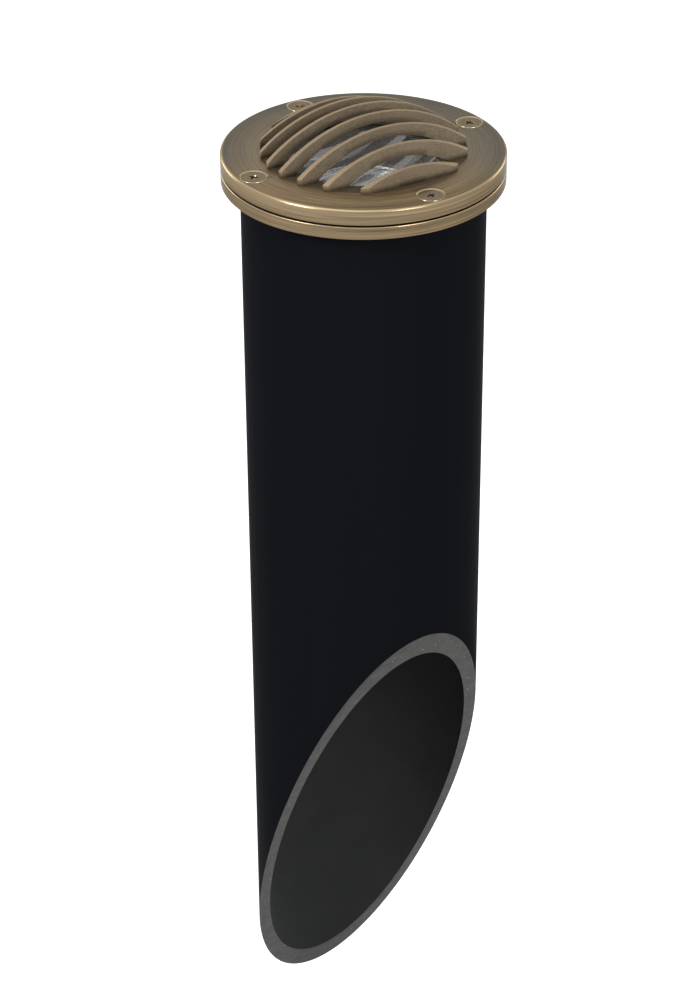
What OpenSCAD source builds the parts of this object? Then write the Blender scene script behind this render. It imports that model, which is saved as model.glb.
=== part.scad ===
// In-ground well light: a brass grate cover on a pipe sleeve that is buried up to its flange.
// Z is up, the origin is on the sleeve's axis at the underside of the mounting flange,
// the grate's fins run along X, and the sleeve's long side is at +Y.

/* [Sleeve] */
// Outside diameter of the buried pipe sleeve
sleeve_od = 114.3; // [112:0.1:120]
// Wall of the sleeve
sleeve_wall = 6.02; // [5:0.01:6.4]
// Length of the sleeve's long side, below the flange
sleeve_long = 511; // [350:1:650]
// Length of the sleeve's short side, where the slanted cut starts
sleeve_short = 222; // [160:1:300]

/* [Mounting flange] */
// How far the flange stands out past the sleeve
flange_overhang = 8.75; // [8.2:0.05:12]
// Thickness of the flange
flange_t = 6; // [5.2:0.1:9]
// Rounding of the flange's top edge
flange_edge = 1; // [0.5:0.1:1.5]
// Depth of the spigot inside the sleeve
spigot_depth = 24; // [16:1:40]
// Wall of the spigot
spigot_wall = 2.6; // [2.3:0.1:2.8]
// Section diameter of the spigot's O-ring
o_ring_d = 1.6; // [1.2:0.1:1.8]

/* [Cover] */
// Thickness of the cover plate
cover_t = 7.2; // [6.6:0.1:10]
// Rounding of the cover's top edge
cover_edge = 1.5; // [0.8:0.1:1.5]
// Thickness of the gasket under the cover
gasket_t = 1; // [0.6:0.1:2]
// How far the gasket stays back from the cover's rim
gasket_inset = 2.9; // [2:0.1:3.2]
// Flat ring between the screw heads and the grate's circle
grate_margin = 4.3; // [2.5:0.1:5]
// Width of the cast shelf between the grate's circle and the light opening
shelf_w = 10.9; // [9:0.1:14]
// Step down from the face to the shelf
shelf_step = 0.3; // [0.2:0.1:0.8]
// Fall of the shelf towards the opening
shelf_fall = 1.2; // [0.3:0.1:1.4]

/* [Grate fins] */
// Number of fins
fin_count = 8; // [6:1:10]
// Thickness of a fin at its top
fin_top = 1.6; // [1.2:0.1:2.4]
// Thickness of a fin at its foot
fin_foot = 2.8; // [2.4:0.1:3.6]
// Height of the grate's crown above the cover face
dome_rise = 20; // [12:0.5:28]
// Height of a fin's end above the cover face
fin_end_h = 2.8; // [2:0.1:5]
// Depth of the fins at the crown
crown_depth = 5; // [3:0.1:7]
// Distance of the foot of the arch from the grate's circle
arch_foot = 7.8; // [5:0.1:9]

/* [Cover screws] */
// Number of cover screws
screw_count = 4; // [3:1:6]
// Distance of the screws from the cover's rim
screw_inset = 8; // [7.9:0.1:9]
// Diameter of a screw's head
screw_head_d = 12.6; // [11:0.1:13]
// Height of the countersunk head
screw_head_h = 3.6; // [3:0.1:4]
// Diameter of a screw's thread
screw_d = 6.35; // [5:0.05:6.4]
// Length of a screw
screw_length = 12.7; // [11.5:0.1:12.9]

/* [Lens] */
// Thickness of the lens
lens_t = 5; // [4:0.1:6.4]
// How far the lens laps under the opening's edge
lens_lap = 4.3; // [3.5:0.1:5]
// Thickness of the lens gasket
lens_gasket_t = 0.9; // [0.6:0.1:1.2]
// Thickness of the cover's lip above the lens
lens_lip_t = 2; // [1.6:0.1:2.2]
// Thickness of the retainer below the lens
retainer_t = 1.8; // [1.4:0.1:3]
// Diameter of the retainer's screws
retainer_screw_d = 2.5; // [2:0.1:2.6]

/* [Lamp housing] */
// Depth of the housing below the flange's top
housing_depth = 110.4; // [104:0.1:140]
// Wall of the housing
housing_wall = 2; // [1.6:0.1:2.4]
// Thickness of the housing's floor
floor_t = 3; // [2.4:0.1:5]
// Thickness of the housing's rim
rim_t = 2.5; // [2:0.1:3]
// Thickness of the seal under the rim
rim_seal_t = 1; // [0.6:0.1:1.2]
// Height of the pivot boss on the floor
boss_h = 6; // [5:0.5:8]

/* [Cable gland] */
// Diameter of the cable that the gland takes
cable_d = 7; // [5:0.1:8]
// Thread diameter of the gland
gland_d = 16; // [15:0.5:18]
// Distance of the gland's axis from the housing's inner wall
gland_reach = 18.8; // [15:0.1:21]

/* [Lamp] */
// Space round the reflector lamp, out to the housing's inner wall
lamp_room = 20.83; // [20.4:0.05:21.9]
// Length of the lamp from its front to its neck
lamp_h = 36; // [32:0.5:40]
// Depth of the lamp's front below the cover gasket
lamp_drop = 16; // [15:0.1:20]
// Depth of the tilt axis below the lamp's front
tilt_drop = 18; // [16:0.5:22]
// Wall of the gimbal ring
gimbal_wall = 2.6; // [2:0.1:3.2]
// Height of the gimbal ring
gimbal_h = 14; // [12:0.5:16]
// Thickness of the yoke's strip
yoke_t = 2; // [1.5:0.1:3]
// Width of the yoke's strip
yoke_w = 16; // [12:0.5:18]

/* [Hidden] */
$fn = 96;

// Overrun of every cut
over = 1;
// Clearance of threads and pins in their holes
thread_gap = 0.1;
// Clearance of a piece that is let into another
seat_gap = 0.3;
// Gap between flat faces of pieces that turn on each other
face_gap = 0.05;
// Scored line round the sleeve, a little above its slanted cut
line_w = 1.5;
line_depth = 0.6;
line_rise = 8;
// Relief in the flange's underside, at the corner with the sleeve
relief_w = 0.5;
relief_h = 0.4;
relief_gap = 1;
// Clearance of the spigot in the sleeve, and of the housing in the spigot
spigot_gap = 0.2;
housing_gap = 0.5;

// Radii, from the sleeve inwards and outwards
sleeve_r = sleeve_od / 2;
sleeve_in_r = sleeve_r - sleeve_wall;
flange_r = sleeve_r + flange_overhang;
spigot_r = sleeve_in_r - spigot_gap;
spigot_in_r = spigot_r - spigot_wall;
housing_r = spigot_in_r - housing_gap;
housing_in_r = housing_r - housing_wall;
screw_circle_r = flange_r - screw_inset;
screw_hole_r = screw_d / 2 + thread_gap;
screw_sink_r = screw_head_d / 2 + thread_gap;
// Wall between the screw holes and the seat of the housing's rim
rim_wall = 1.2;
rim_seat_r = screw_circle_r - screw_hole_r - rim_wall;
rim_r = rim_seat_r - seat_gap;
grate_r = screw_circle_r - screw_head_d / 2 - grate_margin;
opening_r = grate_r - shelf_w;
lens_r = opening_r + lens_lap;
lens_seat_r = lens_r + seat_gap;
retainer_r = housing_in_r - seat_gap;
retainer_screw_r = (lens_seat_r + retainer_r) / 2;

// Heights
gasket_z = flange_t;
cover_z = gasket_z + gasket_t;
face_z = cover_z + cover_t;
shelf_top_z = face_z - shelf_step;
shelf_low_z = shelf_top_z - shelf_fall;
lens_gasket_z = shelf_low_z - lens_lip_t - lens_gasket_t;
lens_z = lens_gasket_z - lens_t;
retainer_z = lens_z - retainer_t;
rim_z = flange_t - rim_t;
rim_seat_z = rim_z - rim_seal_t;
housing_z = flange_t - housing_depth;
floor_z = housing_z + floor_t;
boss_z = floor_z + boss_h;

// Fins: their crowns lie on one sphere, and the crowns of their undersides on another
function cap_r(chord_r, rise) = (chord_r * chord_r + rise * rise) / (2 * rise);
// How far the fins' ends lap onto the cover's face
fin_lap = 0.5;
fin_reach = grate_r + fin_lap;
dome_r = cap_r(grate_r, dome_rise - fin_end_h);
dome_z = face_z + dome_rise - dome_r;
arch_foot_r = grate_r - arch_foot;
arch_rise = dome_rise - crown_depth;
arch_r = cap_r(arch_foot_r, arch_rise);
arch_z = face_z + arch_rise - arch_r;
// Share of the grate's diameter that the fins' centres span
fin_span_share = 0.87;
fin_pitch = fin_span_share * 2 * grate_r / (fin_count - 1);

// Cross recess in the screw heads, as shares of the head
recess_reach_share = 0.21;
recess_w_share = 0.085;
recess_depth_share = 0.6;
recess_reach = screw_head_d * recess_reach_share;
recess_w = screw_head_d * recess_w_share;
recess_depth = screw_head_h * recess_depth_share;
// Straight edge above the head's cone
screw_land = 0.4;

// Pan head of the retainer's screws
retainer_head_share = 1.9;
retainer_slot_share = 0.25;
retainer_head_d = retainer_screw_d * retainer_head_share;
retainer_slot_w = retainer_screw_d * retainer_slot_share;
retainer_head_h = 1.4;
retainer_bite = 3;

// O-ring groove in the spigot
o_ring_z = -spigot_depth / 2;
o_ring_r = sleeve_in_r - o_ring_d / 2 - face_gap;
groove_r = o_ring_r - o_ring_d / 2 - face_gap;

// Gland: the washer's, nose's and cap's shares of the hexagon's corner radius
gland_washer_share = 0.84;
gland_nose_share = 0.66;
gland_cap_share = 0.86;
gland_r = gland_d / 2;
gland_y = housing_in_r - gland_reach;
// Share of the thread diameter that a hexagon's corner radius has
gland_hex_share = 0.72;
gland_hex_r = gland_d * gland_hex_share;
gland_washer_r = gland_hex_r * gland_washer_share;
gland_nose_r = gland_hex_r * gland_nose_share;
gland_cap_r = gland_hex_r * gland_cap_share;
gland_hex_h = 5;
gland_nut_h = 14;
gland_lock_h = 4.5;
gland_washer_t = 1.2;
gland_wall = 2.4;
gland_tail_h = 9;
seal_r = gland_r - gland_wall;
seal_h = 11;
gland_flange_z = housing_z - gland_washer_t - gland_hex_h;
gland_tail_z = gland_flange_z - gland_tail_h;
seal_z = gland_tail_z - seat_gap;
gland_cap_t = 3;
gland_nut_z = gland_tail_z - seat_gap - gland_cap_t;

// Pivot of the yoke
bolt_d = 5;
bolt_head_r = 4.6;
bolt_head_h = 3;
bolt_bite = 5;
swivel_washer_t = 0.8;
swivel_washer_r = 6.5;
boss_r = 7;
yoke_z = boss_z + swivel_washer_t + 2 * face_gap;
yoke_top_z = yoke_z + yoke_t;

// Lamp and gimbal
tilt_boss_r = 5;
lamp_r = housing_in_r - lamp_room;
lamp_z = flange_t - lamp_drop;
tilt_z = lamp_z - tilt_drop;
lamp_rim_t = 3;
lamp_wall = 1.4;
neck_r = 7;
lamp_back_r = lamp_r - lamp_wall - seat_gap;
lip_t = 1.5;
lip_z = lamp_z - lamp_rim_t - lip_t;
lip_in_r = lamp_back_r + seat_gap;
gimbal_in_r = lamp_r + seat_gap;
gimbal_r = gimbal_in_r + gimbal_wall;
snap_d = 1.6;
snap_gap_angle = 28;
snap_r = gimbal_in_r;
snap_z = lamp_z + snap_d / 2 + face_gap;
// Land above the snap ring's groove
snap_land = 0.35;
gimbal_top_z = snap_z + snap_d / 2 + face_gap + snap_land;
gimbal_low_z = tilt_z - tilt_boss_r;
glass_t = 1.5;
glass_r = lamp_back_r - lamp_wall;
neck_z = lamp_z - lamp_h;
// Room below the lamp's neck, down to the yoke's strip, and the shares of it that its pieces take
tail_room = neck_z - yoke_top_z;
base_h_share = 0.1935;
socket_h_share = 0.301;
connector_h_share = 0.3226;
lead_bend_share = 0.1075;
lead_drop_share = 0.086;
base_w = 15;
base_d = 10;
base_h = tail_room * base_h_share;
base_z = neck_z - base_h;
socket_w = 19;
socket_d = 13;
socket_h = tail_room * socket_h_share;
socket_z = base_z - face_gap - socket_h;
pin_d = 1.5;
pin_pitch = 5.33;
pin_length = socket_h / 2;
pin_root = base_h / 2;
pin_tip_z = base_z - pin_length;
capsule_d = 9;
capsule_h = 14;
stem_d = 5;
stem_h = 9;

// Yoke's arms and the tilt screws
tilt_d = 4;
tilt_boss_over = 2.2;
tilt_boss_x = gimbal_r + tilt_boss_over;
tilt_washer_t = 1;
arm_x = tilt_boss_x + tilt_washer_t + 2 * face_gap;
arm_out_x = arm_x + yoke_t;
knob_r = 5;
// Share of the room between the yoke and the housing that a knob takes
knob_share = 0.356;
knob_h = knob_share * (housing_in_r - arm_out_x);
knob_gap = 0.1;
tilt_bite = 4;

// Leads and wire connectors
lead_d = 2.2;
// Share of the socket's height at which the leads come out
lead_exit_share = 0.8;
lead_exit_z = socket_z + socket_h * lead_exit_share;
lead_straight = 2;
lead_bend_r = tail_room * lead_bend_share;
lead_y = socket_d / 2 + lead_straight + lead_bend_r;
lead_drop = tail_room * lead_drop_share;
connector_r = 4.4;
connector_tip_r = 2.6;
connector_h = tail_room * connector_h_share;
connector_top_z = lead_exit_z - lead_bend_r - lead_drop / 2;
connector_bore_depth = lead_drop;

brass = [0.50, 0.45, 0.35];
bright_brass = [0.68, 0.60, 0.42];
steel = [0.72, 0.73, 0.75];
black_pipe = [0.08, 0.09, 0.10];
black_plastic = [0.13, 0.13, 0.14];
rubber = [0.06, 0.06, 0.06];
ceramic = [0.90, 0.88, 0.83];
glass = [0.75, 0.82, 0.84, 0.5];
mirror = [0.80, 0.82, 0.86];
connector_yellow = [0.55, 0.45, 0.12];

// A tube between two heights
module tube(r, in_r, low_z, top_z) {
    translate([0, 0, low_z]) difference() {
        cylinder(r = r, h = top_z - low_z);
        translate([0, 0, -over]) cylinder(r = in_r, h = top_z - low_z + 2 * over);
    }
}

// Copies of a child on a circle, starting at +X
module on_circle(count, r) {
    for (i = [0 : count - 1]) rotate([0, 0, i * 360 / count]) translate([r, 0, 0]) children();
}

// A disc whose top edge is rounded
module rounded_disc(r, low_z, top_z, edge) {
    translate([0, 0, low_z]) cylinder(r = r, h = top_z - edge - low_z);
    translate([0, 0, low_z]) cylinder(r = r - edge, h = top_z - low_z);
    translate([0, 0, top_z - edge]) rotate_extrude() translate([r - edge, 0]) intersection() {
        circle(r = edge);
        square(edge);
    }
}

module sleeve() {
    cut_w = sleeve_od + 2 * over;
    slope = (sleeve_long - sleeve_short) / sleeve_od;
    line_z = line_rise - sleeve_short;
    color(black_pipe) difference() {
        tube(sleeve_r, sleeve_in_r, -sleeve_long, 0);
        tube(sleeve_r + over, sleeve_r - line_depth, line_z, line_z + line_w);
        rotate([90, 0, 90]) translate([0, 0, -cut_w / 2]) linear_extrude(cut_w) polygon([
            [-sleeve_r - over, -sleeve_short + slope * over],
            [sleeve_r + over, -sleeve_long - slope * over],
            [sleeve_r + over, -sleeve_long - slope * 2 * over],
            [-sleeve_r - over, -sleeve_long - slope * 2 * over]]);
    }
}

module mounting_flange() {
    color(brass) difference() {
        union() {
            rounded_disc(flange_r, 0, flange_t, flange_edge);
            translate([0, 0, -spigot_depth]) cylinder(r = spigot_r, h = spigot_depth + over);
        }
        translate([0, 0, -spigot_depth - over])
            cylinder(r = spigot_in_r, h = spigot_depth + flange_t + 2 * over);
        translate([0, 0, rim_seat_z]) cylinder(r = rim_seat_r, h = flange_t);
        tube(sleeve_r + relief_w, sleeve_r - relief_gap, -over, relief_h);
        on_circle(screw_count, screw_circle_r) translate([0, 0, -over])
            cylinder(r = screw_hole_r, h = flange_t + 2 * over);
        tube(spigot_r + over, groove_r, o_ring_z - o_ring_d / 2 - face_gap,
             o_ring_z + o_ring_d / 2 + face_gap);
    }
}

module spigot_o_ring() {
    color(rubber) translate([0, 0, o_ring_z]) rotate_extrude() translate([o_ring_r, 0]) circle(d = o_ring_d);
}

module lamp_housing() {
    color(black_plastic) difference() {
        union() {
            translate([0, 0, housing_z]) cylinder(r = housing_r, h = housing_depth);
            translate([0, 0, rim_z]) cylinder(r = rim_r, h = rim_t);
        }
        difference() {
            translate([0, 0, floor_z]) cylinder(r = housing_in_r, h = housing_depth);
            translate([0, 0, floor_z - over]) cylinder(r = boss_r, h = boss_h + over);
        }
        translate([0, 0, boss_z - bolt_bite - over]) cylinder(r = bolt_d / 2 + thread_gap, h = housing_depth);
        translate([0, gland_y, housing_z - over]) cylinder(r = gland_r + thread_gap, h = floor_t + 2 * over);
    }
}

module housing_seal() {
    color(rubber) tube(rim_r - seat_gap, spigot_in_r + seat_gap, rim_seat_z, rim_z);
}

module gland_body() {
    color(black_plastic) translate([0, gland_y, 0]) difference() {
        union() {
            translate([0, 0, gland_flange_z]) cylinder(r = gland_hex_r, h = gland_hex_h, $fn = 6);
            translate([0, 0, gland_tail_z]) cylinder(r = gland_r - seat_gap, h = gland_tail_h + over);
            translate([0, 0, gland_flange_z])
                cylinder(r = gland_r, h = gland_hex_h + gland_washer_t + floor_t + gland_lock_h + over);
        }
        translate([0, 0, gland_tail_z - over])
            cylinder(r = cable_d / 2 + seat_gap, h = housing_depth);
        translate([0, 0, gland_tail_z - over]) cylinder(r = seal_r, h = seal_h + over);
    }
}

module gland_washer() {
    color(rubber) translate([0, gland_y, 0])
        tube(gland_washer_r, gland_r + thread_gap, housing_z - gland_washer_t, housing_z);
}

module gland_locknut() {
    color(black_plastic) translate([0, gland_y, floor_z]) difference() {
        cylinder(r = gland_hex_r, h = gland_lock_h, $fn = 6);
        translate([0, 0, -over]) cylinder(r = gland_r + thread_gap, h = gland_lock_h + 2 * over);
    }
}

module gland_seal() {
    color(rubber) translate([0, gland_y, 0])
        tube(seal_r - thread_gap, cable_d / 2, seal_z, gland_tail_z + seal_h - seat_gap);
}

module gland_nut() {
    color(black_plastic) translate([0, gland_y, gland_nut_z]) difference() {
        union() {
            translate([0, 0, gland_cap_t]) cylinder(r = gland_hex_r, h = gland_tail_h, $fn = 6);
            cylinder(r1 = gland_nose_r, r2 = gland_cap_r, h = gland_cap_t);
        }
        translate([0, 0, -over]) cylinder(r = cable_d / 2 + seat_gap, h = gland_nut_h + 2 * over);
        translate([0, 0, gland_cap_t]) cylinder(r = gland_r - seat_gap + thread_gap, h = gland_nut_h);
    }
}

module swivel_bolt() {
    color(steel) {
        difference() {
            translate([0, 0, yoke_top_z + face_gap]) cylinder(r = bolt_head_r, h = bolt_head_h);
            translate([0, 0, yoke_top_z + face_gap + bolt_head_h / 2])
                cylinder(r = bolt_d / 2, h = bolt_head_h, $fn = 6);
        }
        translate([0, 0, boss_z - bolt_bite])
            cylinder(d = bolt_d, h = yoke_top_z - boss_z + bolt_bite + over);
    }
}

module swivel_washer() {
    color(steel) tube(swivel_washer_r, bolt_d / 2 + thread_gap, boss_z, boss_z + swivel_washer_t);
}

module yoke() {
    color(steel) difference() {
        union() {
            translate([-arm_out_x, -yoke_w / 2, yoke_z]) cube([2 * arm_out_x, yoke_w, yoke_t]);
            for (side = [-1, 1]) translate([side * (arm_x + yoke_t / 2), 0, 0]) {
                translate([-yoke_t / 2, -yoke_w / 2, yoke_z]) cube([yoke_t, yoke_w, tilt_z - yoke_z]);
                translate([-yoke_t / 2, 0, tilt_z]) rotate([0, 90, 0]) cylinder(d = yoke_w, h = yoke_t);
            }
        }
        translate([0, 0, yoke_z - over]) cylinder(r = bolt_d / 2 + thread_gap, h = yoke_t + 2 * over);
        translate([-arm_out_x - over, 0, tilt_z]) rotate([0, 90, 0])
            cylinder(r = tilt_d / 2 + thread_gap, h = 2 * arm_out_x + 2 * over);
    }
}

module tilt_washers() {
    color(steel) for (side = [-1, 1]) translate([side * (arm_x - face_gap - tilt_washer_t / 2), 0, tilt_z])
        rotate([0, 90, 0]) tube(tilt_boss_r, tilt_d / 2 + thread_gap, -tilt_washer_t / 2, tilt_washer_t / 2);
}

module tilt_screws() {
    knob_x = arm_out_x + knob_gap;
    shank_x = tilt_boss_x - tilt_bite;
    color(steel) for (side = [0, 180]) rotate([0, 0, side]) translate([0, 0, tilt_z]) rotate([0, 90, 0]) {
        translate([0, 0, shank_x]) cylinder(d = tilt_d, h = knob_x - shank_x + over);
        difference() {
            translate([0, 0, knob_x]) cylinder(r = knob_r, h = knob_h);
            translate([-knob_r - over, -recess_w, knob_x + knob_h - recess_w])
                cube([2 * knob_r + 2 * over, 2 * recess_w, recess_w + over]);
        }
    }
}

module gimbal_ring() {
    color(black_plastic) difference() {
        union() {
            translate([0, 0, gimbal_low_z]) cylinder(r = gimbal_r, h = gimbal_top_z - gimbal_low_z);
            translate([-tilt_boss_x, 0, tilt_z]) rotate([0, 90, 0])
                cylinder(r = tilt_boss_r, h = 2 * tilt_boss_x);
        }
        translate([0, 0, lip_z + lip_t]) cylinder(r = gimbal_in_r, h = gimbal_h);
        translate([0, 0, gimbal_low_z - over]) cylinder(r = lip_in_r, h = 2 * gimbal_h + 2 * over);
        translate([0, 0, gimbal_low_z - gimbal_h]) cylinder(r = lip_in_r, h = gimbal_h + over);
        tube(gimbal_in_r + snap_d / 2 + face_gap, lip_in_r, snap_z - snap_d / 2 - face_gap,
             snap_z + snap_d / 2 + face_gap);
        translate([-tilt_boss_x - over, 0, tilt_z]) rotate([0, 90, 0])
            cylinder(r = tilt_d / 2 + thread_gap, h = 2 * tilt_boss_x + 2 * over);
    }
}

module lamp_snap_ring() {
    color(steel) translate([0, 0, snap_z]) rotate([0, 0, snap_gap_angle / 2])
        rotate_extrude(angle = 360 - snap_gap_angle) translate([snap_r, 0]) circle(d = snap_d);
}

// Outline of the reflector: a paraboloid from the neck to the front, moved in by a given amount
function reflector_r(t) = neck_r + (lamp_back_r - neck_r) * sqrt(t);
reflector_steps = 10;
reflector_start_share = 0.06;
reflector_shares = [for (i = [0 : reflector_steps])
    reflector_start_share + (1 - reflector_start_share) * i / reflector_steps];

module lamp_reflector() {
    body_h = lamp_h - lamp_rim_t;
    outer = [for (t = reflector_shares) [reflector_r(t), neck_z + body_h * t]];
    inner = [for (i = [reflector_steps : -1 : 0])
        let (t = reflector_shares[i]) [reflector_r(t) - lamp_wall, neck_z + body_h * t]];
    color(mirror) rotate_extrude() polygon(concat(
        [[neck_r - lamp_wall, neck_z], [neck_r, neck_z]], outer,
        [[lamp_r, lamp_z - lamp_rim_t], [lamp_r, lamp_z], [glass_r + seat_gap, lamp_z],
         [glass_r + seat_gap, lamp_z - glass_t], [lamp_back_r - lamp_wall - seat_gap, lamp_z - glass_t]],
        inner));
}

module lamp_glass() {
    color(glass) translate([0, 0, lamp_z - glass_t + face_gap]) cylinder(r = glass_r, h = glass_t - face_gap);
}

module lamp_capsule() {
    capsule_z = neck_z + stem_h;
    color(glass) {
        translate([0, 0, capsule_z]) cylinder(d = capsule_d, h = capsule_h);
        translate([0, 0, capsule_z + capsule_h]) sphere(d = capsule_d);
        translate([0, 0, neck_z + seat_gap]) cylinder(d = stem_d, h = stem_h);
    }
}

module lamp_base() {
    color(ceramic) difference() {
        union() {
            translate([-base_w / 2, -base_d / 2, base_z]) cube([base_w, base_d, base_h - face_gap]);
            translate([0, 0, neck_z - over]) cylinder(r = neck_r - lamp_wall - face_gap, h = over + seat_gap);
        }
        for (side = [-1, 1]) translate([side * pin_pitch / 2, 0, base_z - over])
            cylinder(r = pin_d / 2 + face_gap, h = pin_root + over);
    }
}

module lamp_pins() {
    color(steel) for (side = [-1, 1]) translate([side * pin_pitch / 2, 0, pin_tip_z])
        cylinder(d = pin_d, h = pin_length + pin_root);
}

module lamp_socket() {
    color(ceramic) difference() {
        translate([-socket_w / 2, -socket_d / 2, socket_z]) cube([socket_w, socket_d, socket_h]);
        for (side = [-1, 1]) translate([side * pin_pitch / 2, 0, pin_tip_z - over])
            cylinder(r = pin_d / 2 + thread_gap, h = socket_h);
    }
}

module socket_leads() {
    color("white") for (side = [0, 180]) rotate([0, 0, side]) translate([0, socket_d / 2, lead_exit_z]) {
        rotate([-90, 0, 0]) cylinder(d = lead_d, h = lead_straight);
        translate([0, lead_straight, -lead_bend_r]) rotate([90, 0, 90])
            rotate_extrude(angle = 90) translate([lead_bend_r, 0]) circle(d = lead_d);
        translate([0, lead_straight + lead_bend_r, -lead_bend_r - lead_drop])
            cylinder(d = lead_d, h = lead_drop);
    }
}

module wire_connectors() {
    color(connector_yellow) for (side = [-1, 1]) translate([0, side * lead_y, connector_top_z]) difference() {
        translate([0, 0, -connector_h]) cylinder(r1 = connector_tip_r, r2 = connector_r, h = connector_h);
        translate([0, 0, -connector_bore_depth])
            cylinder(r = lead_d / 2 + thread_gap, h = connector_bore_depth + over);
    }
}

// One fin along X: a drafted bar with a level top, between two arcs that lie along it
module fin(y) {
    top_r = sqrt(dome_r * dome_r - y * y);
    low_r = sqrt(max(1, arch_r * arch_r - y * y));
    top_z = dome_z + top_r;
    intersection() {
        translate([-fin_reach, y, 0]) rotate([90, 0, 90]) linear_extrude(2 * fin_reach) polygon([
            [-fin_foot / 2, cover_z + over], [fin_foot / 2, cover_z + over],
            [fin_top / 2, top_z + over], [-fin_top / 2, top_z + over]]);
        translate([0, y, 0]) rotate([90, 0, 0]) difference() {
            translate([0, dome_z, -fin_foot]) cylinder(r = top_r, h = 2 * fin_foot, $fn = 200);
            translate([0, arch_z, -fin_foot - over]) cylinder(r = low_r, h = 2 * fin_foot + 2 * over, $fn = 200);
        }
    }
}

module grate_cover() {
    color(brass) {
        difference() {
            rounded_disc(flange_r, cover_z, face_z, cover_edge);
            translate([0, 0, shelf_top_z]) cylinder(r = grate_r, h = shelf_step + over);
            translate([0, 0, shelf_low_z]) cylinder(r1 = opening_r, r2 = grate_r, h = shelf_fall);
            translate([0, 0, cover_z - over]) cylinder(r = opening_r, h = cover_t + 2 * over);
            translate([0, 0, cover_z - over])
                cylinder(r = lens_seat_r, h = lens_gasket_z + lens_gasket_t - cover_z + over);
            on_circle(screw_count, screw_circle_r) {
                translate([0, 0, cover_z - over]) cylinder(r = screw_hole_r, h = cover_t + 2 * over);
                translate([0, 0, face_z - screw_head_h])
                    cylinder(r1 = screw_hole_r, r2 = screw_sink_r, h = screw_head_h - screw_land);
                translate([0, 0, face_z - screw_land]) cylinder(r = screw_sink_r, h = screw_land + over);
            }
            rotate([0, 0, 180 / screw_count]) on_circle(screw_count, retainer_screw_r)
                translate([0, 0, cover_z - over])
                    cylinder(r = retainer_screw_d / 2 + thread_gap, h = retainer_bite + over);
        }
        intersection() {
            for (i = [0 : fin_count - 1]) fin((i - (fin_count - 1) / 2) * fin_pitch);
            translate([0, 0, cover_z + over]) cylinder(r = fin_reach, h = cover_t + dome_rise + over);
        }
    }
}

module cover_screws() {
    color(bright_brass) on_circle(screw_count, screw_circle_r) difference() {
        union() {
            translate([0, 0, face_z - screw_length]) cylinder(d = screw_d, h = screw_length - screw_land);
            translate([0, 0, face_z - screw_head_h + screw_land])
                cylinder(d1 = screw_d, d2 = screw_head_d, h = screw_head_h - 2 * screw_land);
            translate([0, 0, face_z - screw_land]) cylinder(d = screw_head_d, h = screw_land);
        }
        for (turn = [45, 135]) rotate([0, 0, turn])
            translate([-recess_reach, -recess_w / 2, face_z - recess_depth])
                cube([2 * recess_reach, recess_w, recess_depth + over]);
    }
}

module cover_gasket() {
    color(rubber) difference() {
        tube(flange_r - gasket_inset, housing_in_r, gasket_z, cover_z);
        on_circle(screw_count, screw_circle_r) translate([0, 0, gasket_z - over])
            cylinder(r = screw_hole_r, h = gasket_t + 2 * over);
    }
}

module lens() {
    color(glass) translate([0, 0, lens_z]) cylinder(r = lens_r, h = lens_t);
}

module lens_gasket() {
    color(rubber) tube(lens_seat_r - seat_gap, opening_r, lens_gasket_z, lens_gasket_z + lens_gasket_t);
}

module lens_retainer() {
    color(brass) difference() {
        tube(retainer_r, opening_r, retainer_z, cover_z);
        translate([0, 0, lens_z]) cylinder(r = lens_seat_r, h = cover_t);
        rotate([0, 0, 180 / screw_count]) on_circle(screw_count, retainer_screw_r)
            translate([0, 0, retainer_z - over])
                cylinder(r = retainer_screw_d / 2 + thread_gap, h = cover_z - retainer_z + 2 * over);
    }
}

module retainer_screws() {
    head_z = retainer_z - retainer_head_h;
    color(steel) rotate([0, 0, 180 / screw_count]) on_circle(screw_count, retainer_screw_r) {
        translate([0, 0, retainer_z])
            cylinder(d = retainer_screw_d, h = cover_z + retainer_bite - retainer_z - face_gap);
        difference() {
            translate([0, 0, head_z]) cylinder(d = retainer_head_d, h = retainer_head_h);
            translate([-retainer_head_d / 2 - over, -retainer_slot_w / 2, head_z - over])
                cube([retainer_head_d + 2 * over, retainer_slot_w, over + retainer_head_h / 2]);
        }
    }
}

sleeve();
mounting_flange();
spigot_o_ring();
lamp_housing();
housing_seal();
gland_body();
gland_washer();
gland_locknut();
gland_seal();
gland_nut();
swivel_bolt();
swivel_washer();
yoke();
tilt_washers();
tilt_screws();
gimbal_ring();
lamp_snap_ring();
lamp_reflector();
lamp_glass();
lamp_capsule();
lamp_base();
lamp_pins();
lamp_socket();
socket_leads();
wire_connectors();
grate_cover();
cover_screws();
cover_gasket();
lens();
lens_gasket();
lens_retainer();
retainer_screws();
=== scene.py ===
"""Looks of the in-ground well light: brass grate cover, flange ring, pipe sleeve and the lamp inside."""
import math

import bmesh
import bpy
import numpy as np
from mathutils import Matrix, Vector

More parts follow.
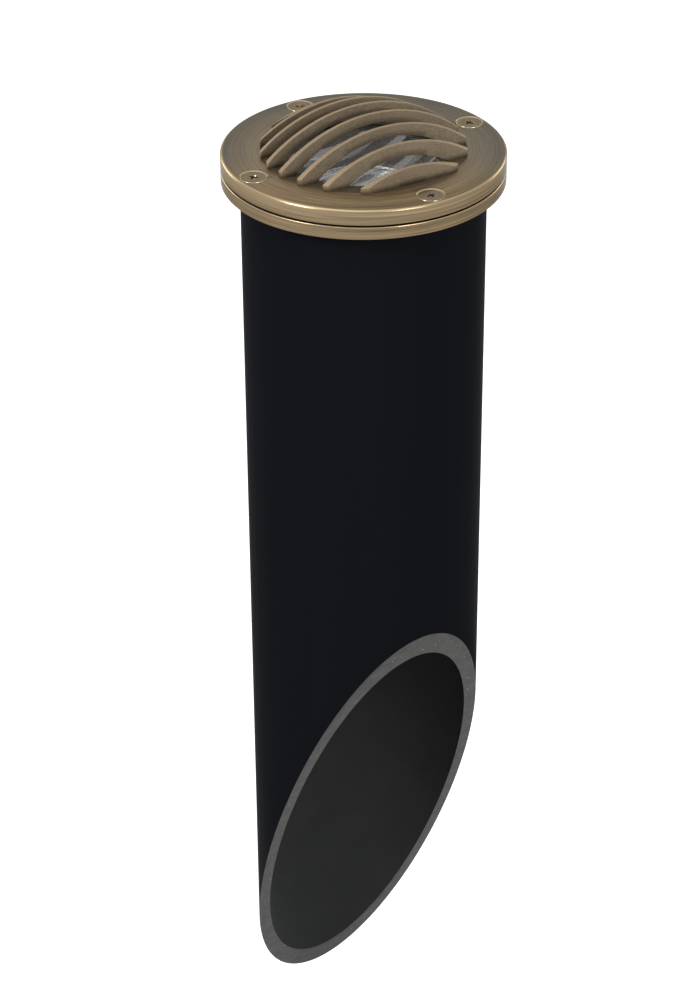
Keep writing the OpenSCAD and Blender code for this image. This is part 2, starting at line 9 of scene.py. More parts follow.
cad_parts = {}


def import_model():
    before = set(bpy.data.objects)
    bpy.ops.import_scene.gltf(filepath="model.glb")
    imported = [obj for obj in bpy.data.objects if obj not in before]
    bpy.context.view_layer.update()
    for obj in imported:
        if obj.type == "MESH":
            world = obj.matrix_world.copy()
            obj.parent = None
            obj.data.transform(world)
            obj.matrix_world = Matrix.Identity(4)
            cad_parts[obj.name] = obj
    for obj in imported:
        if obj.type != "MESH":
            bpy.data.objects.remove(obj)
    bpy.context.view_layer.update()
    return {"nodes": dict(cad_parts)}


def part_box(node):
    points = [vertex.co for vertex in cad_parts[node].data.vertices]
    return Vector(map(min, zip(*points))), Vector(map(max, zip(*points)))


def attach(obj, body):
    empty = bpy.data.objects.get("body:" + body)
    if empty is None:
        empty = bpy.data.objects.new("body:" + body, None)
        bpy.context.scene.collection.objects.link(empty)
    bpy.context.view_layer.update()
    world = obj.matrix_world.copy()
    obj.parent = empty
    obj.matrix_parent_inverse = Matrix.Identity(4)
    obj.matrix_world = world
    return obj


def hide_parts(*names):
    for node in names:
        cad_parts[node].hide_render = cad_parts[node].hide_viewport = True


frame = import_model()

MM = 0.001
TURN = 2 * math.pi

# Sleeve
SLEEVE_LOW, SLEEVE_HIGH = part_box("sleeve")
SLEEVE_R = SLEEVE_HIGH.x
SLEEVE_WALL = 6.02 * MM
SLEEVE_IN_R = SLEEVE_R - SLEEVE_WALL
SLEEVE_LONG = -SLEEVE_LOW.z
SLEEVE_SHORT = 222 * MM

# Flange and cover screws
FLANGE_LOW, FLANGE_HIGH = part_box("mounting_flange")
FLANGE_R = FLANGE_HIGH.x
FLANGE_T = FLANGE_HIGH.z
FLANGE_EDGE = 0.5 * MM
SCREW_LOW, SCREW_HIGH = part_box("cover_screws")
SCREW_COUNT = 4
SCREW_R = 3.175 * MM
SCREW_HOLE_R = 3.275 * MM
SCREW_HEAD_R = 6.3 * MM
SCREW_HEAD_H = 3.6 * MM
SCREW_CIRCLE_R = FLANGE_R - 8 * MM

# Cover, lens and grate
COVER_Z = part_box("cover_gasket")[1].z
COVER_EDGE = 1.2 * MM
FACE_Z = SCREW_HIGH.z
GRATE_R = SCREW_CIRCLE_R - SCREW_HEAD_R - 4.3 * MM
OPENING_R = GRATE_R - 10.9 * MM
SHELF_TOP_Z = FACE_Z - 0.3 * MM
SHELF_LOW_Z = SHELF_TOP_Z - 1.2 * MM
LENS_LOW, LENS_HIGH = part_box("lens")
LENS_R = LENS_HIGH.x
LENS_SEAT_R = LENS_R + 0.3 * MM
LIP_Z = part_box("lens_gasket")[1].z
GASKET_IN_R = 45.83 * MM

# How far a guard point stands from a rounding
GUARD = 0.12 * MM


# Meshes

def make_object(name, verts, faces, body, material=None, sharp=32):
    """A mesh object that rides on a CAD body, smooth but for edges sharper than an angle."""
    mesh = bpy.data.meshes.new(name)
    mesh.from_pydata([tuple(v) for v in verts], [], faces)
    mesh.validate()
    obj = bpy.data.objects.new(name, mesh)
    bpy.context.scene.collection.objects.link(obj)
    if material:
        mesh.materials.append(material)
    tidy_normals(obj)
    smooth(obj, sharp)
    if body:
        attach(obj, body)
    return obj


def tidy_normals(obj):
    """Turns every face outwards and joins points that coincide."""
    bm = bmesh.new()
    bm.from_mesh(obj.data)
    bmesh.ops.remove_doubles(bm, verts=bm.verts, dist=1e-7)
    bmesh.ops.recalc_face_normals(bm, faces=bm.faces)
    bm.to_mesh(obj.data)
    bm.free()


def smooth(obj, sharp):
    """Shades an object smooth, but for edges sharper than an angle in degrees."""
    obj.data.shade_smooth()
    obj.data.set_sharp_from_angle(angle=math.radians(sharp))


def rounded(points, steps=5):
    """A closed outline whose corners are rounded: each point is (r, z) or (r, z, radius).

    A point close beside each rounding keeps the shading of the flat parts flat.
    """
    out = []
    count = len(points)
    for i, point in enumerate(points):
        corner = Vector(point[:2])
        radius = point[2] if len(point) > 2 else 0
        if radius <= 0:
            out.append(corner)
            continue
        to_last = Vector(points[i - 1][:2]) - corner
        to_next = Vector(points[(i + 1) % count][:2]) - corner
        half = to_last.angle(to_next) / 2
        reach = radius / math.tan(half)
        middle = (to_last.normalized() + to_next.normalized()).normalized()
        centre = corner + middle * radius / math.sin(half)
        start = corner + to_last.normalized() * reach
        end = corner + to_next.normalized() * reach
        sweep = (start - centre).angle_signed(end - centre)
        if to_last.length > 3 * reach:
            out.append(start + to_last.normalized() * GUARD)
        for k in range(steps + 1):
            turn = Matrix.Rotation(-sweep * k / steps, 2)
            out.append(centre + turn @ (start - centre))
        if to_next.length > 3 * reach:
            out.append(end + to_next.normalized() * GUARD)
    return [(p.x, p.y) for p in out]


def strips(columns, count, around=True, closed=True):
    """Faces between neighbouring columns of points, which may go all the way round in either direction."""
    faces = []
    for i in range(columns if around else columns - 1):
        here, there = i * count, (i + 1) % columns * count
        for k in range(count if closed else count - 1):
            n = (k + 1) % count
            faces.append((here + k, there + k, there + n, here + n))
    return faces


def lathe_mesh(outline, segments, centre, closed):
    """Points and faces of an outline of (r, z) turned about a vertical axis."""
    verts = []
    for i in range(segments):
        a = TURN * i / segments
        verts += [(centre[0] + r * math.cos(a), centre[1] + r * math.sin(a), z) for r, z in outline]
    return verts, strips(segments, len(outline), closed=closed)


def lathe(name, outline, body, material, segments, centre=(0, 0), closed=True, sharp=32):
    """A turned piece; one that isn't closed has an outline that starts and ends on the axis."""
    verts, faces = lathe_mesh(outline, segments, centre, closed)
    return make_object(name, verts, faces, body, material, sharp)


def on_circle(radius, angle):
    return (radius * math.cos(angle), radius * math.sin(angle))


def bore(obj, outline, centre, segments):
    """Cuts a turned outline, which starts and ends on its axis, out of an object."""
    verts, faces = lathe_mesh(outline, segments, centre, closed=False)
    cut(obj, make_object("hole", verts, faces, None))


def cut(obj, tool):
    """Takes a tool's shape out of the object's mesh and deletes the tool."""
    modifier = obj.modifiers.new("cut", "BOOLEAN")
    modifier.operation = "DIFFERENCE"
    modifier.solver = "EXACT"
    modifier.object = tool
    graph = bpy.context.evaluated_depsgraph_get()
    graph.update()
    mesh = bpy.data.meshes.new_from_object(obj.evaluated_get(graph))
    obj.modifiers.clear()
    obj.data = mesh
    bpy.data.objects.remove(tool)


def join(name, parts, body):
    """Joins objects into one that rides on a body; materials stay."""
    bm = bmesh.new()
    materials = []
    for part in parts:
        mesh = part.data.copy()
        mesh.transform(part.matrix_world)
        slots = []
        for material in part.data.materials:
            if material not in materials:
                materials.append(material)
            slots.append(materials.index(material))
        first = len(bm.faces)
        bm.from_mesh(mesh)
        bm.faces.ensure_lookup_table()
        for face in bm.faces[first:]:
            face.material_index = slots[face.material_index] if slots else 0
        bpy.data.meshes.remove(mesh)
    mesh = bpy.data.meshes.new(name)
    bm.to_mesh(mesh)
    bm.free()
    for material in materials:
        mesh.materials.append(material)
    for part in parts:
        bpy.data.objects.remove(part)
    obj = bpy.data.objects.new(name, mesh)
    bpy.context.scene.collection.objects.link(obj)
    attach(obj, body)
    return obj


def set_wear(obj, amounts):
    """Stores how bright and worn each point is."""
    values = obj.data.attributes.new("wear", "FLOAT", "POINT")
    values.data.foreach_set("value", amounts)


def near(value, target, width):
    """1 at a target, falling to 0 at a width from it."""
    return max(0.0, 1.0 - abs(value - target) / width)


# Shader nodes

def add(tree, kind, inputs=None, **settings):
    """A shader node with settings, and inputs given by name or number as values or sockets."""
    node = tree.nodes.new(kind)
    for key, value in settings.items():
        setattr(node, key, value)
    for key, value in (inputs or {}).items():
        if isinstance(value, bpy.types.NodeSocket):
            tree.links.new(value, node.inputs[key])
        else:
            node.inputs[key].default_value = value
    return node


def new_material(name, **values):
    """A material and its principled shader, whose sockets are set by name."""
    material = bpy.data.materials.new(name)
    material.use_nodes = True
    tree = material.node_tree
    shader = tree.nodes["Principled BSDF"]
    for key, value in values.items():
        shader.inputs[key.replace("_", " ")].default_value = value
    return material, tree, shader


def feed(tree, shader, **sources):
    """Links sockets to the shader's own, given by name."""
    for key, source in sources.items():
        tree.links.new(source, shader.inputs[key.replace("_", " ")])


def maths(tree, operation, a, b=0.0):
    return add(tree, "ShaderNodeMath", {0: a, 1: b}, operation=operation).outputs[0]


def vector_maths(tree, operation, a, b=(0, 0, 0)):
    node = add(tree, "ShaderNodeVectorMath", {0: a, 1: b}, operation=operation)
    return node.outputs["Value" if operation in ("LENGTH", "DOT_PRODUCT") else "Vector"]


def scaled(tree, vector, factor):
    return add(tree, "ShaderNodeVectorMath", {0: vector, "Scale": factor}, operation="SCALE").outputs[0]


def split(tree, vector):
    return add(tree, "ShaderNodeSeparateXYZ", {0: vector}).outputs


def opaque(colour):
    """A colour of three parts as one of four; a socket stays as it is."""
    return colour if isinstance(colour, bpy.types.NodeSocket) else (*colour, 1)


def mix_colour(tree, factor, a, b):
    inputs = {0: factor, 6: opaque(a), 7: opaque(b)}
    return add(tree, "ShaderNodeMix", inputs, data_type="RGBA").outputs[2]


def remap(tree, value, low, high, out_low, out_high):
    inputs = {"Value": value, "From Min": low, "From Max": high, "To Min": out_low, "To Max": out_high}
    return add(tree, "ShaderNodeMapRange", inputs).outputs[0]


def spread(tree, value, low, high):
    """A noise's usual span, 0.3 to 0.7, brought to another."""
    return remap(tree, value, 0.3, 0.7, low, high)


def over(tree, base, colour, value, span, amounts=(0.0, 1.0)):
    """Lays a colour over a base, in amounts that follow a value through a span."""
    return mix_colour(tree, remap(tree, value, *span, *amounts), base, colour)


def object_place(tree):
    return add(tree, "ShaderNodeTexCoord").outputs["Object"]


def noise(tree, place, scale, detail=4.0, rough=0.55, w=None):
    settings = {"noise_dimensions": "4D"} if w is not None else {}
    inputs = {"Vector": place, "Scale": scale, "Detail": detail, "Roughness": rough}
    if w is not None:
        inputs["W"] = w
    return add(tree, "ShaderNodeTexNoise", inputs, **settings).outputs["Fac"]


def bump(tree, height, distance, strength=1.0, under=None):
    inputs = {"Height": height, "Distance": distance, "Strength": strength}
    if under is not None:
        inputs["Normal"] = under
    return add(tree, "ShaderNodeBump", inputs).outputs["Normal"]


def soft_edges(tree, radius=0.3 * MM):
    """Normals that round the edges of a CAD mesh."""
    return add(tree, "ShaderNodeBevel", {"Radius": radius}, samples=4).outputs["Normal"]


def stored_wear(tree):
    return add(tree, "ShaderNodeAttribute", attribute_name="wear").outputs["Fac"]


def spin_lines(tree, fineness, along):
    """Noise drawn out along circles about the Z axis, as a lathe or a spun pad leaves it."""
    place = object_place(tree)
    flat = vector_maths(tree, "MULTIPLY", place, (1, 1, 0))
    radius = vector_maths(tree, "LENGTH", flat)
    way = scaled(tree, vector_maths(tree, "NORMALIZE", flat), along)
    ring = add(tree, "ShaderNodeCombineXYZ", {2: maths(tree, "MULTIPLY", radius, fineness)}).outputs[0]
    point = vector_maths(tree, "ADD", way, ring)
    height = maths(tree, "MULTIPLY", split(tree, place)["Z"], fineness)
    return noise(tree, point, 1.0, 3.0, 0.6, w=height)


def hole_rims(tree, place):
    """How near a point is to the rubbed edge of one of the four screw holes, from 0 to 1."""
    edge_r = SCREW_HEAD_R + 0.26 * MM
    inner, outer = 0.14 * MM, 0.30 * MM
    folded = split(tree, vector_maths(tree, "ABSOLUTE", place))
    out = maths(tree, "MAXIMUM", folded["X"], folded["Y"])
    aside = maths(tree, "MINIMUM", folded["X"], folded["Y"])
    beyond = maths(tree, "SUBTRACT", out, SCREW_CIRCLE_R)
    offset = add(tree, "ShaderNodeCombineXYZ", {0: beyond, 1: aside}).outputs[0]
    reach = vector_maths(tree, "LENGTH", offset)
    gap = maths(tree, "ABSOLUTE", maths(tree, "SUBTRACT", reach, edge_r))
    return remap(tree, gap, inner, outer, 1.0, 0.0)


def wall_shade(tree, wall):
    """1 on level faces, and the given share on upright walls: painted shade that keeps the walls darker than
    the face.
    """
    normal = add(tree, "ShaderNodeNewGeometry").outputs["Normal"]
    return remap(tree, split(tree, normal)["Z"], 0.2, 0.9, wall, 1.0)


# Materials

# What brass turns to at grazing angles under its patina
BRASS_EDGE = (0.56, 0.53, 0.48, 1)
# Side of the light, about its axis, that faces the camera: there the patina is painted warmer and its
# streaks brighter, a painted sheen of reflected light
SHEEN_WAY = (-0.51, -0.86, 0)
# Side from which the key light falls: a painted highlight on the face, and brighter painted light on the
# worn rims there
PAINTED_LIGHT_WAY = (-0.89, -0.46, 0)
# Slant of the saw marks across the cut
SAW_SLANT = math.radians(35)
GLASS_IOR = 1.48


def spun_brass(name):
    """Antiqued brass, spun on a lathe: fine rings and uneven patina, a painted warm sheen on the side facing
    the camera, a painted highlight towards the lit front left, painted shade on upright walls, and bright
    where it is worn, with painted light on the lit side.
    """
    material, tree, shader = new_material(
        name, Metallic=1.0, Anisotropic=0.6, Anisotropic_Rotation=0.25, Specular_Tint=BRASS_EDGE)
    place = object_place(tree)
    fine = spin_lines(tree, fineness=5200.0, along=3.0)
    broad = spin_lines(tree, fineness=1300.0, along=0.8)
    clouded = spread(tree, noise(tree, place, 26.0, 5.0), 0.0, 1.0)
    painted_light = vector_maths(tree, "DOT_PRODUCT", place, PAINTED_LIGHT_WAY)
    # Painted sheen: 0 away from the camera, 1 on the side that faces it
    painted_sheen = remap(tree, vector_maths(tree, "DOT_PRODUCT", place, SHEEN_WAY), 10 * MM, 52 * MM, 0.0, 1.0)
    cool = mix_colour(tree, clouded, (0.132, 0.121, 0.104), (0.166, 0.153, 0.132))
    warm = mix_colour(tree, clouded, (0.188, 0.137, 0.080), (0.230, 0.170, 0.102))
    # Lighter streak tone: lathe rings with a painted sheen, brightest on the side that faces the camera
    streak_sheen = mix_colour(tree, painted_sheen, (0.185, 0.166, 0.137), (0.370, 0.262, 0.142))
    shaded = mix_colour(tree, painted_sheen, (0.112, 0.101, 0.086), (0.090, 0.066, 0.040))
    patina_and_sheen = mix_colour(tree, painted_sheen, cool, warm)
    # Painted highlight: a lighter sweep over the outer face towards the lit front left
    patina_and_sheen = over(tree, patina_and_sheen, (0.320, 0.248, 0.160), painted_light, (36 * MM, 58 * MM), (0.0, 0.45))
    lined = over(tree, patina_and_sheen, streak_sheen, broad, (0.48, 0.66), (0.0, 0.8))
    lined = over(tree, lined, shaded, broad, (0.36, 0.46), (0.55, 0.0))
    lined = over(tree, lined, (0.070, 0.056, 0.040), fine, (0.34, 0.52), (0.35, 0.0))
    lined = scaled(tree, lined, wall_shade(tree, 0.72))
    # Edges worn bright, with painted light: brighter on the lit side and dimmer away from it
    worn = maths(tree, "MULTIPLY", stored_wear(tree), remap(tree, painted_light, -45 * MM, 45 * MM, 0.3, 0.9))
    worn = maths(tree, "MULTIPLY", worn, remap(tree, broad, 0.25, 0.6, 0.6, 1.0))
    colour = mix_colour(tree, worn, lined, (0.50, 0.38, 0.23))
    rims = maths(tree, "MULTIPLY", hole_rims(tree, place), 0.55)
    colour = mix_colour(tree, rims, colour, (0.52, 0.42, 0.27))
    relief = bump(tree, fine, 0.03 * MM, 0.6, bump(tree, broad, 0.06 * MM, 0.5))
    tangent = add(tree, "ShaderNodeTangent", direction_type="RADIAL", axis="Z").outputs[0]
    rough = spread(tree, fine, 0.24, 0.38)
    feed(tree, shader, Base_Color=colour, Roughness=rough, Normal=relief, Tangent=tangent)
    return material


def cast_brass(name):
    """Sand-cast brass under the same patina: a sandy grain, painted shade low down on the shelf and between
    the fins, and warmer where the tops were rubbed.
    """
    material, tree, shader = new_material(name, Metallic=0.45, Specular_Tint=BRASS_EDGE)
    place = object_place(tree)
    grain = noise(tree, place, 1900.0, 2.0, 0.6)
    lump = noise(tree, place, 300.0, 4.0, 0.6)
    cloud = noise(tree, place, 40.0, 4.0)
    height = split(tree, place)["Z"]
    base = over(tree, (0.235, 0.183, 0.123), (0.285, 0.226, 0.157), cloud, (0.3, 0.7))
    base = over(tree, base, (0.46, 0.375, 0.265), grain, (0.50, 0.66), (0.0, 0.6))
    base = over(tree, base, (0.135, 0.103, 0.068), grain, (0.34, 0.46), (0.30, 0.0))
    base = over(tree, base, (0.15, 0.120, 0.084), lump, (0.30, 0.45), (0.20, 0.0))
    # Painted shade: darker low down, on the shelf and the lower parts of the fins between them
    base = over(tree, base, (0.060, 0.044, 0.026), height, (SHELF_TOP_Z, FACE_Z + 2 * MM), (0.85, 0.0))
    worn = maths(tree, "MULTIPLY", stored_wear(tree), remap(tree, grain, 0.35, 0.6, 0.5, 0.9))
    colour = mix_colour(tree, worn, base, (0.320, 0.228, 0.122))
    relief = bump(tree, grain, 0.16 * MM, 1.0, bump(tree, lump, 0.25 * MM, 0.6))
    feed(tree, shader, Base_Color=colour, Roughness=spread(tree, grain, 0.46, 0.64), Normal=relief)
    return material


def screw_brass(name):
    """Turned brass under patina, with a bright rim where the finish wore off the edge."""
    material, tree, shader = new_material(name, Metallic=1.0, Specular_Tint=BRASS_EDGE)
    scuff = noise(tree, object_place(tree), 420.0, 5.0, 0.65)
    colour = over(tree, (0.185, 0.152, 0.106), (0.265, 0.218, 0.155), scuff, (0.35, 0.65))
    colour = mix_colour(tree, stored_wear(tree), colour, (0.56, 0.45, 0.28))
    relief = bump(tree, scuff, 0.06 * MM, 0.4)
    feed(tree, shader, Base_Color=colour, Roughness=spread(tree, scuff, 0.18, 0.32), Normal=relief)
    return material


def plastic(name, dark, light, rough, grain_scale=900.0, depth=0.05 * MM, level=0.3):
    """Moulded plastic or rubber: two close tones, a fine grain and soft edges."""
    material, tree, shader = new_material(name, Specular_IOR_Level=level)
    place = object_place(tree)
    grain = noise(tree, place, grain_scale, 4.0, 0.6)
    colour = mix_colour(tree, noise(tree, place, 35.0, 3.0), dark, light)
    relief = bump(tree, grain, depth, 0.7, soft_edges(tree))
    feed(tree, shader, Base_Color=colour, Roughness=spread(tree, grain, *rough), Normal=relief)
    return material


def pipe_black(name):
    """Extruded black pipe: near black and satin, with faint streaks along its length."""
    material, tree, shader = new_material(name, Specular_IOR_Level=0.001)
    place = object_place(tree)
    drawn = vector_maths(tree, "MULTIPLY", place, (1, 1, 0.015))
    streak = noise(tree, drawn, 260.0, 4.0, 0.55)
    soft = noise(tree, drawn, 45.0, 3.0, 0.5)
    fleck = noise(tree, place, 600.0, 3.0, 0.6)
    colour = over(tree, (0.0074, 0.0079, 0.0098), (0.0079, 0.0085, 0.0105), soft, (0.3, 0.7))
    colour = over(tree, colour, (0.0104, 0.0111, 0.0132), streak, (0.52, 0.72), (0.0, 0.15))
    relief = bump(tree, fleck, 0.03 * MM, 0.3, bump(tree, streak, 0.05 * MM, 0.3))
    feed(tree, shader, Base_Color=colour, Roughness=spread(tree, streak, 0.40, 0.52), Normal=relief)
    return material


def pipe_sawn(name):
    """The pipe's sawn face: greyer and duller, with slanting saw marks and specks of dust."""
    material, tree, shader = new_material(name, Specular_IOR_Level=0.2, Roughness=0.62)
    place = object_place(tree)
    slanted = {"Vector": place, "Angle": SAW_SLANT}
    turned = add(tree, "ShaderNodeVectorRotate", slanted, rotation_type="Y_AXIS").outputs[0]
    marks = noise(tree, vector_maths(tree, "MULTIPLY", turned, (0.05, 1, 1)), 900.0, 5.0, 0.65)
    dust = noise(tree, place, 160.0, 5.0, 0.6)
    speck = noise(tree, place, 900.0, 1.0, 0.4)
    colour = over(tree, (0.045, 0.047, 0.045), (0.070, 0.071, 0.068), dust, (0.3, 0.7))
    colour = over(tree, colour, (0.150, 0.150, 0.145), marks, (0.50, 0.70), (0.0, 0.40))
    colour = over(tree, colour, (0.035, 0.036, 0.035), marks, (0.32, 0.45), (0.35, 0.0))
    colour = over(tree, colour, (0.55, 0.54, 0.50), speck, (0.76, 0.80), (0.0, 0.8))
    feed(tree, shader, Base_Color=colour, Normal=bump(tree, marks, 0.12 * MM, 0.5))
    return material


def steel(name):
    """Brushed stainless steel."""
    material, tree, shader = new_material(name, Metallic=1.0)
    drawn = vector_maths(tree, "MULTIPLY", object_place(tree), (1, 1, 0.06))
    lines = noise(tree, drawn, 1400.0, 4.0, 0.6)
    colour = mix_colour(tree, lines, (0.36, 0.36, 0.37), (0.58, 0.58, 0.59))
    relief = bump(tree, lines, 0.03 * MM, 0.5, soft_edges(tree, 0.2 * MM))
    feed(tree, shader, Base_Color=colour, Roughness=spread(tree, lines, 0.22, 0.40), Normal=relief)
    return material


def clear_glass(name, tint=(0.97, 0.99, 0.99), rough=0.0, clear=1.0):
    """Clear glass with a faint smear here and there, and a haze of dust where it isn't quite clear."""
    material, tree, shader = new_material(
        name, Base_Color=opaque(tint), Transmission_Weight=clear, IOR=GLASS_IOR)
    smear = noise(tree, object_place(tree), 55.0, 5.0, 0.6)
    feed(tree, shader, Roughness=remap(tree, smear, 0.50, 0.80, rough, rough + 0.03))
    return material


def mirror_coat(name):
    """The lamp's dichroic coating: bright, with a faint change of hue from place to place."""
    material, tree, shader = new_material(name, Metallic=1.0, Roughness=0.12)
    place = object_place(tree)
    hue = noise(tree, place, 70.0, 2.0)
    ripple = noise(tree, place, 260.0, 2.0)
    colour = over(tree, (0.93, 0.95, 0.97), (0.98, 0.97, 0.96), hue, (0.35, 0.65))
    feed(tree, shader, Base_Color=colour, Normal=bump(tree, ripple, 0.1 * MM, 0.1))
    return material


BRASS = spun_brass("spun_brass")
CAST = cast_brass("cast_brass")
SCREW = screw_brass("screw_brass")
PIPE = pipe_black("pipe_black")
SAWN = pipe_sawn("pipe_sawn")
# The pipe's inside is lighter than its outside: partly dust, and partly painted light for the light bounced
# into the pipe
PIPE_IN = plastic(
    "pipe_inner", (0.020, 0.021, 0.021), (0.030, 0.031, 0.031), (0.65, 0.8), 500.0, 0.04 * MM, 0.05)
RUBBER = plastic("rubber", (0.008, 0.008, 0.008), (0.016, 0.016, 0.016), (0.55, 0.75), 1200.0)
CUP = plastic("housing_plastic", (0.012, 0.012, 0.013), (0.020, 0.020, 0.021), (0.38, 0.55))
GLAND = plastic("gland_plastic", (0.018, 0.018, 0.019), (0.030, 0.030, 0.031), (0.34, 0.48), 1400.0)
STEEL = steel("stainless")
GLASS = clear_glass("lens_glass", clear=0.95)
LAMP_GLASS = clear_glass("lamp_glass", (0.98, 0.99, 0.99), 0.20)
MIRROR = mirror_coat("reflector_coat")
CERAMIC = plastic("ceramic", (0.62, 0.60, 0.54), (0.72, 0.70, 0.64), (0.45, 0.62), 700.0, level=0.5)
SLEEVING = plastic(
    "lead_sleeving", (0.60, 0.58, 0.53), (0.70, 0.68, 0.63), (0.40, 0.55), 1500.0, 0.03 * MM, 0.5)
CONNECTOR = plastic(
    "connector_plastic", (0.34, 0.23, 0.03), (0.42, 0.29, 0.05), (0.35, 0.5), 900.0, 0.04 * MM, 0.5)

CAD_MATERIALS = {
    "sleeve": PIPE, "mounting_flange": BRASS, "spigot_o_ring": RUBBER,
    "lamp_housing": CUP, "housing_seal": RUBBER,
    "gland_body": GLAND, "gland_locknut": GLAND, "gland_nut": GLAND,
    "gland_washer": RUBBER, "gland_seal": RUBBER,
    "swivel_bolt": STEEL, "swivel_washer": STEEL, "yoke": STEEL, "tilt_washers": STEEL, "tilt_screws": STEEL,
    "gimbal_ring": CUP, "lamp_snap_ring": STEEL,
    "lamp_reflector": MIRROR, "lamp_glass": LAMP_GLASS, "lamp_capsule": LAMP_GLASS,
    "lamp_base": CERAMIC, "lamp_pins": STEEL, "lamp_socket": CERAMIC,
    "socket_leads": SLEEVING, "wire_connectors": CONNECTOR,
    "grate_cover": BRASS, "cover_screws": SCREW, "cover_gasket": RUBBER,
    "lens": GLASS, "lens_gasket": RUBBER, "lens_retainer": BRASS, "retainer_screws": STEEL}


def dress_nodes():
    """Gives each carried-over CAD node its material."""
    for name, node in frame["nodes"].items():
        node.data.materials.clear()
        node.data.materials.append(CAD_MATERIALS[name])


# Sleeve

def sleeve():
    """The pipe, as columns of points round its axis that all end at the slanted cut."""
    segments = 320
    wall_rows = 14
    cut_rows = 4
    edge = 0.12 * MM
    slope = (SLEEVE_LONG - SLEEVE_SHORT) / (2 * SLEEVE_R)
    lift = edge * math.hypot(1, slope)

    def cut_z(y):
        return -SLEEVE_SHORT - slope * (y + SLEEVE_R)

    verts = []
    for i in range(segments):
        a = TURN * i / segments
        x, y = math.cos(a), math.sin(a)
        out_low = cut_z(SLEEVE_R * y) + lift
        in_low = cut_z(SLEEVE_IN_R * y) + lift
        column = [(SLEEVE_R, z) for z in np.linspace(-edge, out_low, wall_rows)]
        column += [(r, cut_z(r * y)) for r in np.linspace(SLEEVE_R - edge, SLEEVE_IN_R + edge, cut_rows)]
        column += [(SLEEVE_IN_R, z) for z in np.linspace(in_low, -edge, wall_rows)]
        column += [(SLEEVE_IN_R + edge, 0), (SLEEVE_R - edge, 0)]
        verts += [(r * x, r * y, z) for r, z in column]
    obj = make_object("sleeve_pipe", verts, strips(segments, len(column)), "sleeve_body", PIPE, 28)
    obj.data.materials.append(SAWN)
    obj.data.materials.append(PIPE_IN)
    cut_normal = Vector((0, slope, 1)).normalized()
    nearly_level = 0.985
    for face in obj.data.polygons:
        in_cut = abs(face.normal.dot(cut_normal)) > nearly_level
        if in_cut and face.center.z < -SLEEVE_SHORT / 2:
            face.material_index = 1
        elif math.hypot(face.center.x, face.center.y) < SLEEVE_IN_R + 0.1 * MM:
            face.material_index = 2
    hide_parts("sleeve")


# Mounting flange

def mounting_flange():
    """The lower ring, with the housing's seat in it and the spigot with its groove below."""
    spigot_r = SLEEVE_IN_R - 0.2 * MM
    spigot_in_r = spigot_r - 2.6 * MM
    seat_r = SCREW_CIRCLE_R - SCREW_HOLE_R - 1.2 * MM
    seat_z = FLANGE_T - 3.5 * MM
    groove_r = SLEEVE_IN_R - 1.7 * MM
    groove_z = FLANGE_LOW.z / 2
    groove_low_z, groove_top_z = groove_z - 0.85 * MM, groove_z + 0.85 * MM
    small = 0.4 * MM
    outline = rounded([
        (FLANGE_R, 0, small), (FLANGE_R, FLANGE_T, FLANGE_EDGE),
        (seat_r, FLANGE_T, small), (seat_r, seat_z, small), (spigot_in_r, seat_z, small),
        (spigot_in_r, FLANGE_LOW.z, small), (spigot_r, FLANGE_LOW.z, small),
        (spigot_r, groove_low_z), (groove_r, groove_low_z), (groove_r, groove_top_z),
        (spigot_r, groove_top_z), (spigot_r, 0)])
    obj = lathe("flange_ring", outline, "sleeve_body", BRASS, 320)
    low, high = -2 * MM, FLANGE_T + MM
    hole = [(0, low), (SCREW_HOLE_R, low), (SCREW_HOLE_R, high), (0, high)]
    for i in range(SCREW_COUNT):
        bore(obj, hole, on_circle(SCREW_CIRCLE_R, TURN * i / SCREW_COUNT), 40)
    smooth(obj, 30)

    def worn(p):
        rim = near(math.hypot(p.x, p.y), FLANGE_R - 0.3 * FLANGE_EDGE, 0.8 * FLANGE_EDGE)
        return min(1.0, 1.6 * rim * near(p.z, FLANGE_T - 0.3 * FLANGE_EDGE, 0.9 * FLANGE_EDGE))

    set_wear(obj, [worn(v.co) for v in obj.data.vertices])
    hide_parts("mounting_flange")


# Grate cover

FIN_COUNT = 8
FIN_TOP = 1.6 * MM
FIN_FOOT = 2.8 * MM
FIN_END_H = 2.8 * MM
FIN_REACH = GRATE_R + 0.5 * MM
FIN_SPAN_SHARE = 0.87
FIN_PITCH = FIN_SPAN_SHARE * 2 * GRATE_R / (FIN_COUNT - 1)
CROWN_DEPTH = 5 * MM
DOME_RISE = 20 * MM
ARCH_RISE = DOME_RISE - CROWN_DEPTH
ARCH_FOOT_R = GRATE_R - 7.8 * MM


def cap_r(chord_r, rise):
    """Radius of the sphere whose cap has the given chord and rise."""
    return (chord_r ** 2 + rise ** 2) / (2 * rise)


DOME_R = cap_r(GRATE_R, DOME_RISE - FIN_END_H)
ARCH_R = cap_r(ARCH_FOOT_R, ARCH_RISE)
DOME_Z = FACE_Z + DOME_RISE - DOME_R
ARCH_Z = FACE_Z + ARCH_RISE - ARCH_R


